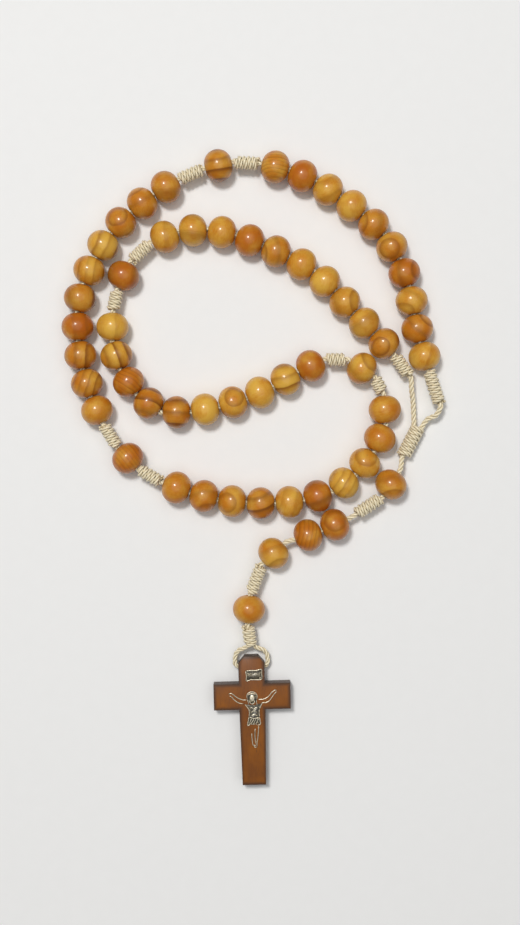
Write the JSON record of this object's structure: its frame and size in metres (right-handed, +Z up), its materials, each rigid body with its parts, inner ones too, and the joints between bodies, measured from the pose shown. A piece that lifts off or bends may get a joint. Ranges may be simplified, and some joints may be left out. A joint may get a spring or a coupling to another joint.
{
  "type": "rosary",
  "caption": "Corded five-decade rosary of varnished wooden beads with wrapped cord knots, a short pendant and a flat wooden cross bearing a stamped foil figure.",
  "frame": {"origin": "middle of the laid-out rosary, on the surface it lies on", "axes": "+Z up from the surface; +Y from the cross towards the loop, the long way of the laid-out rosary; +X to the right, on the side of the closing knot"},
  "size_m": [0.0969, 0.1605, 0.0082],
  "materials": {
    "bead_wood": "varnished, glossy, striped grain from pale honey to red-brown",
    "cross_wood": "stained brown, satin varnish, darker edges",
    "cord": "ivory twisted nylon, slight sheen",
    "foil": "thin stamped silver-gold foil outline"
  },
  "bodies": {
    "closing_knot": {"centre_knot": "cord", "left_tail_cord": "cord", "right_tail_cord": "cord", "pater_1_cord": "cord", "pater_2_cord": "cord", "pater_3_cord": "cord", "pater_4_cord": "cord"},
    "decade_1": {"decade_1_beads": "bead_wood", "decade_1_cord": "cord", "decade_1_first_knot": "cord", "decade_1_last_knot": "cord"},
    "decade_2": {"decade_2_beads": "bead_wood", "decade_2_cord": "cord", "decade_2_first_knot": "cord", "decade_2_last_knot": "cord"},
    "decade_3": {"decade_3_beads": "bead_wood", "decade_3_cord": "cord", "decade_3_first_knot": "cord", "decade_3_last_knot": "cord"},
    "decade_4": {"decade_4_beads": "bead_wood", "decade_4_cord": "cord", "decade_4_first_knot": "cord", "decade_4_last_knot": "cord"},
    "decade_5": {"decade_5_beads": "bead_wood", "decade_5_cord": "cord", "decade_5_first_knot": "cord", "decade_5_last_knot": "cord"},
    "pater_1": {"pater_1": "bead_wood"},
    "pater_2": {"pater_2": "bead_wood"},
    "pater_3": {"pater_3": "bead_wood"},
    "pater_4": {"pater_4": "bead_wood"},
    "pendant": {"pendant_cord": "cord", "pendant_upper_knot": "cord"},
    "upper_pater": {"pendant_upper_pater": "bead_wood"},
    "aves": {"aves_cord": "cord"},
    "ave_1": {"pendant_ave_1": "bead_wood"},
    "ave_2": {"pendant_ave_2": "bead_wood"},
    "drop": {"drop_cord": "cord", "pendant_middle_knot": "cord", "foot_knot": "cord", "cross_loop_cord": "cord"},
    "ave_3": {"pendant_ave_3": "bead_wood"},
    "lower_pater": {"pendant_lower_pater": "bead_wood"},
    "cross": {"cross": "cross_wood", "corpus_foil": "foil", "titulus_foil": "foil"}
  },
  "joints": [
    {"name": "decade_1_lift", "type": "hinge", "parent": "closing_knot", "child": "decade_1", "pos_m": [0.04672, 0.0175, 0.0041], "axis": [0.6425, -0.7663, 0], "range_deg": [0, 25]},
    {"name": "decade_2_lift", "type": "hinge", "parent": "closing_knot", "child": "decade_2", "pos_m": [-0.014, 0.07478, 0.0041], "axis": [0.2964, 0.9551, 0], "range_deg": [0, 25]},
    {"name": "decade_3_lift", "type": "hinge", "parent": "closing_knot", "child": "decade_3", "pos_m": [-0.02734, -0.00122, 0.0041], "axis": [-0.9347, -0.3555, 0], "range_deg": [0, 75]},
    {"name": "decade_4_lift", "type": "hinge", "parent": "closing_knot", "child": "decade_4", "pos_m": [0.02219, 0.02728, 0.0041], "axis": [-0.9625, 0.2712, 0], "range_deg": [0, 25]},
    {"name": "decade_5_lift", "type": "hinge", "parent": "closing_knot", "child": "decade_5", "pos_m": [-0.02968, 0.05322, 0.0041], "axis": [0.9212, -0.3891, 0], "range_deg": [0, 20]},
    {"name": "pater_1_spin", "type": "hinge", "parent": "closing_knot", "child": "pater_1", "pos_m": [-0.00872, 0.07631, 0.0041], "axis": [-0.975, -0.2223, 0], "continuous": true},
    {"name": "pater_2_spin", "type": "hinge", "parent": "closing_knot", "child": "pater_2", "pos_m": [-0.03159, 0.00238, 0.0041], "axis": [0.6962, -0.7179, 0], "continuous": true},
    {"name": "pater_3_spin", "type": "hinge", "parent": "closing_knot", "child": "pater_3", "pos_m": [0.0275, 0.02508, 0.0041], "axis": [-0.8296, 0.5584, 0], "continuous": true},
    {"name": "pater_4_spin", "type": "hinge", "parent": "closing_knot", "child": "pater_4", "pos_m": [-0.03268, 0.04848, 0.0041], "axis": [0.4227, 0.9063, 0], "continuous": true},
    {"name": "pendant_lift", "type": "hinge", "parent": "closing_knot", "child": "pendant", "pos_m": [0.0376, 0.00168, 0.00323], "axis": [-0.9734, 0.229, 0], "range_deg": [0, 60]},
    {"name": "upper_pater_spin", "type": "hinge", "parent": "pendant", "child": "upper_pater", "pos_m": [0.03485, -0.00424, 0.00411], "axis": [-0.5582, -0.8297, -0.0051], "continuous": true},
    {"name": "aves_swing", "type": "hinge", "parent": "pendant", "child": "aves", "pos_m": [0.02507, -0.01235, 0.0041], "axis": [0, 0, 1], "range_deg": [0, 60]},
    {"name": "ave_1_spin", "type": "hinge", "parent": "aves", "child": "ave_1", "pos_m": [0.02068, -0.01442, 0.0041], "axis": [-0.9135, -0.4067, 0], "continuous": true},
    {"name": "ave_2_spin", "type": "hinge", "parent": "aves", "child": "ave_2", "pos_m": [0.01393, -0.01705, 0.0041], "axis": [-0.9477, -0.3192, 0], "continuous": true},
    {"name": "drop_lift", "type": "hinge", "parent": "aves", "child": "drop", "pos_m": [0.00923, -0.01867, 0.0041], "axis": [-0.3452, 0.9385, 0], "range_deg": [0, 60]},
    {"name": "ave_3_spin", "type": "hinge", "parent": "drop", "child": "ave_3", "pos_m": [0.0052, -0.02162, 0.0041], "axis": [-0.7435, -0.6688, 0], "continuous": true},
    {"name": "lower_pater_spin", "type": "hinge", "parent": "drop", "child": "lower_pater", "pos_m": [-0.00098, -0.03575, 0.00414], "axis": [-0.0858, -0.9963, 0.01], "continuous": true},
    {"name": "cross_swing", "type": "hinge", "parent": "drop", "child": "cross", "pos_m": [-0.00038, -0.05035, 0.0023], "axis": [-0.9997, -0.0262, 0], "range_deg": [0, 120]}
  ]
}
